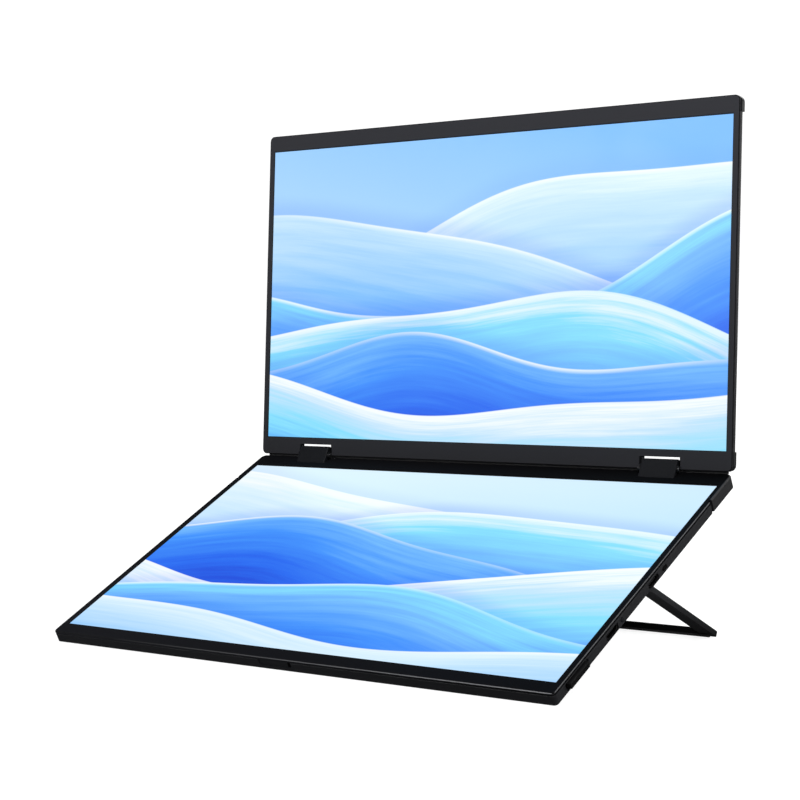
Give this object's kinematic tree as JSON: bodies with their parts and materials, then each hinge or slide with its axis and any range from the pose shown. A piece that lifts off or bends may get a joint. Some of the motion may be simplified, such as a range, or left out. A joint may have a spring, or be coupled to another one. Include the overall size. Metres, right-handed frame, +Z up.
{
  "type": "portable monitor",
  "caption": "Folding portable monitor: a lower screen propped on a swing-out stand, and an upper screen on friction hinges along its rear edge, with cable sockets and keys in one side.",
  "frame": {"origin": "centre of the whole part's bounding box in X and Y, on the floor it stands on", "axes": "+X to the right along the hinge line as the user sees it, +Y away from the user, +Z up"},
  "size_m": [0.3556, 0.2264, 0.3075],
  "materials": {
    "lower_bezel": "fine satin",
    "upper_bezel": "fine matte",
    "cover": "fine textured matte",
    "screen": "anti-glare",
    "light_guide": "clear sheet with white films",
    "led_bar": "white strip",
    "steel": "pressed sheet",
    "board": "solder mask",
    "chip": "moulded",
    "switch": "moulded",
    "socket": "dark plated shell",
    "lens": "smoked, frosted",
    "flex": "film",
    "cable": "tape",
    "corner": "satin",
    "rubber": "matte",
    "screw": "black plated",
    "knuckle": "satin black",
    "stand_metal": "satin black",
    "key": "satin"
  },
  "bodies": {
    "base": {"lower_front_bezel": "lower_bezel", "lower_back_cover": "cover", "lower_lcd_cell": "screen", "lower_backlight": "light_guide", "lower_led_bar": "led_bar", "lower_chassis_plate": "steel", "main_board": "board", "board_chips": "chip", "board_screws": "steel", "key_board": "board", "push_switches": "switch", "usb_c_socket": "socket", "mini_hdmi_socket": "socket", "status_lens": "lens", "speakers": "chip", "lower_driver_board": "board", "lower_display_flex": "flex", "display_cable_lower": "cable", "rear_corner_caps": "corner", "front_foot_pads": "rubber", "lower_cover_screws": "screw", "hinge_knuckles": "knuckle", "hinge_shafts": "steel", "hinge_lower_leaves": "steel", "stand_pivot_lugs": "stand_metal", "stand_pivot_pins": "steel"},
    "upper_screen": {"upper_front_bezel": "upper_bezel", "upper_back_cover": "cover", "upper_lcd_cell": "screen", "upper_backlight": "light_guide", "upper_led_bar": "led_bar", "upper_chassis_plate": "steel", "upper_driver_board": "board", "upper_display_flex": "flex", "display_cable_upper": "cable", "upper_corner_bumpers": "corner", "upper_cover_screws": "screw", "hinge_upper_leaves": "steel"},
    "stand": {"stand_left_leg": "stand_metal", "stand_right_leg": "stand_metal", "stand_crossbar": "stand_metal", "stand_foot_strip": "rubber"},
    "power_button": {"power_button": "key"},
    "menu_rocker": {"menu_rocker": "key"}
  },
  "joints": [
    {"name": "screen_hinge", "type": "hinge", "parent": "base", "child": "upper_screen", "pos_m": [-0.00065, 0.08503, 0.09282], "axis": [1, 0, 0], "range_deg": [-15.8, 119.2]},
    {"name": "stand_hinge", "type": "hinge", "parent": "base", "child": "stand", "pos_m": [-0.00065, -0.00605, 0.04127], "axis": [1, 0, 0], "range_deg": [-128.7, 0]},
    {"name": "power_press", "type": "slide", "parent": "base", "child": "power_button", "axis": [-1, 0, 0], "range_m": [0, 0.0004], "stiffness_N_per_m": 2000},
    {"name": "menu_rock", "type": "hinge", "parent": "base", "child": "menu_rocker", "pos_m": [0.17425, -0.09073, 0.01184], "axis": [0, -0.3907, 0.9205], "range_deg": [-2.5, 2.5], "stiffness_Nm_per_rad": 0.5}
  ]
}
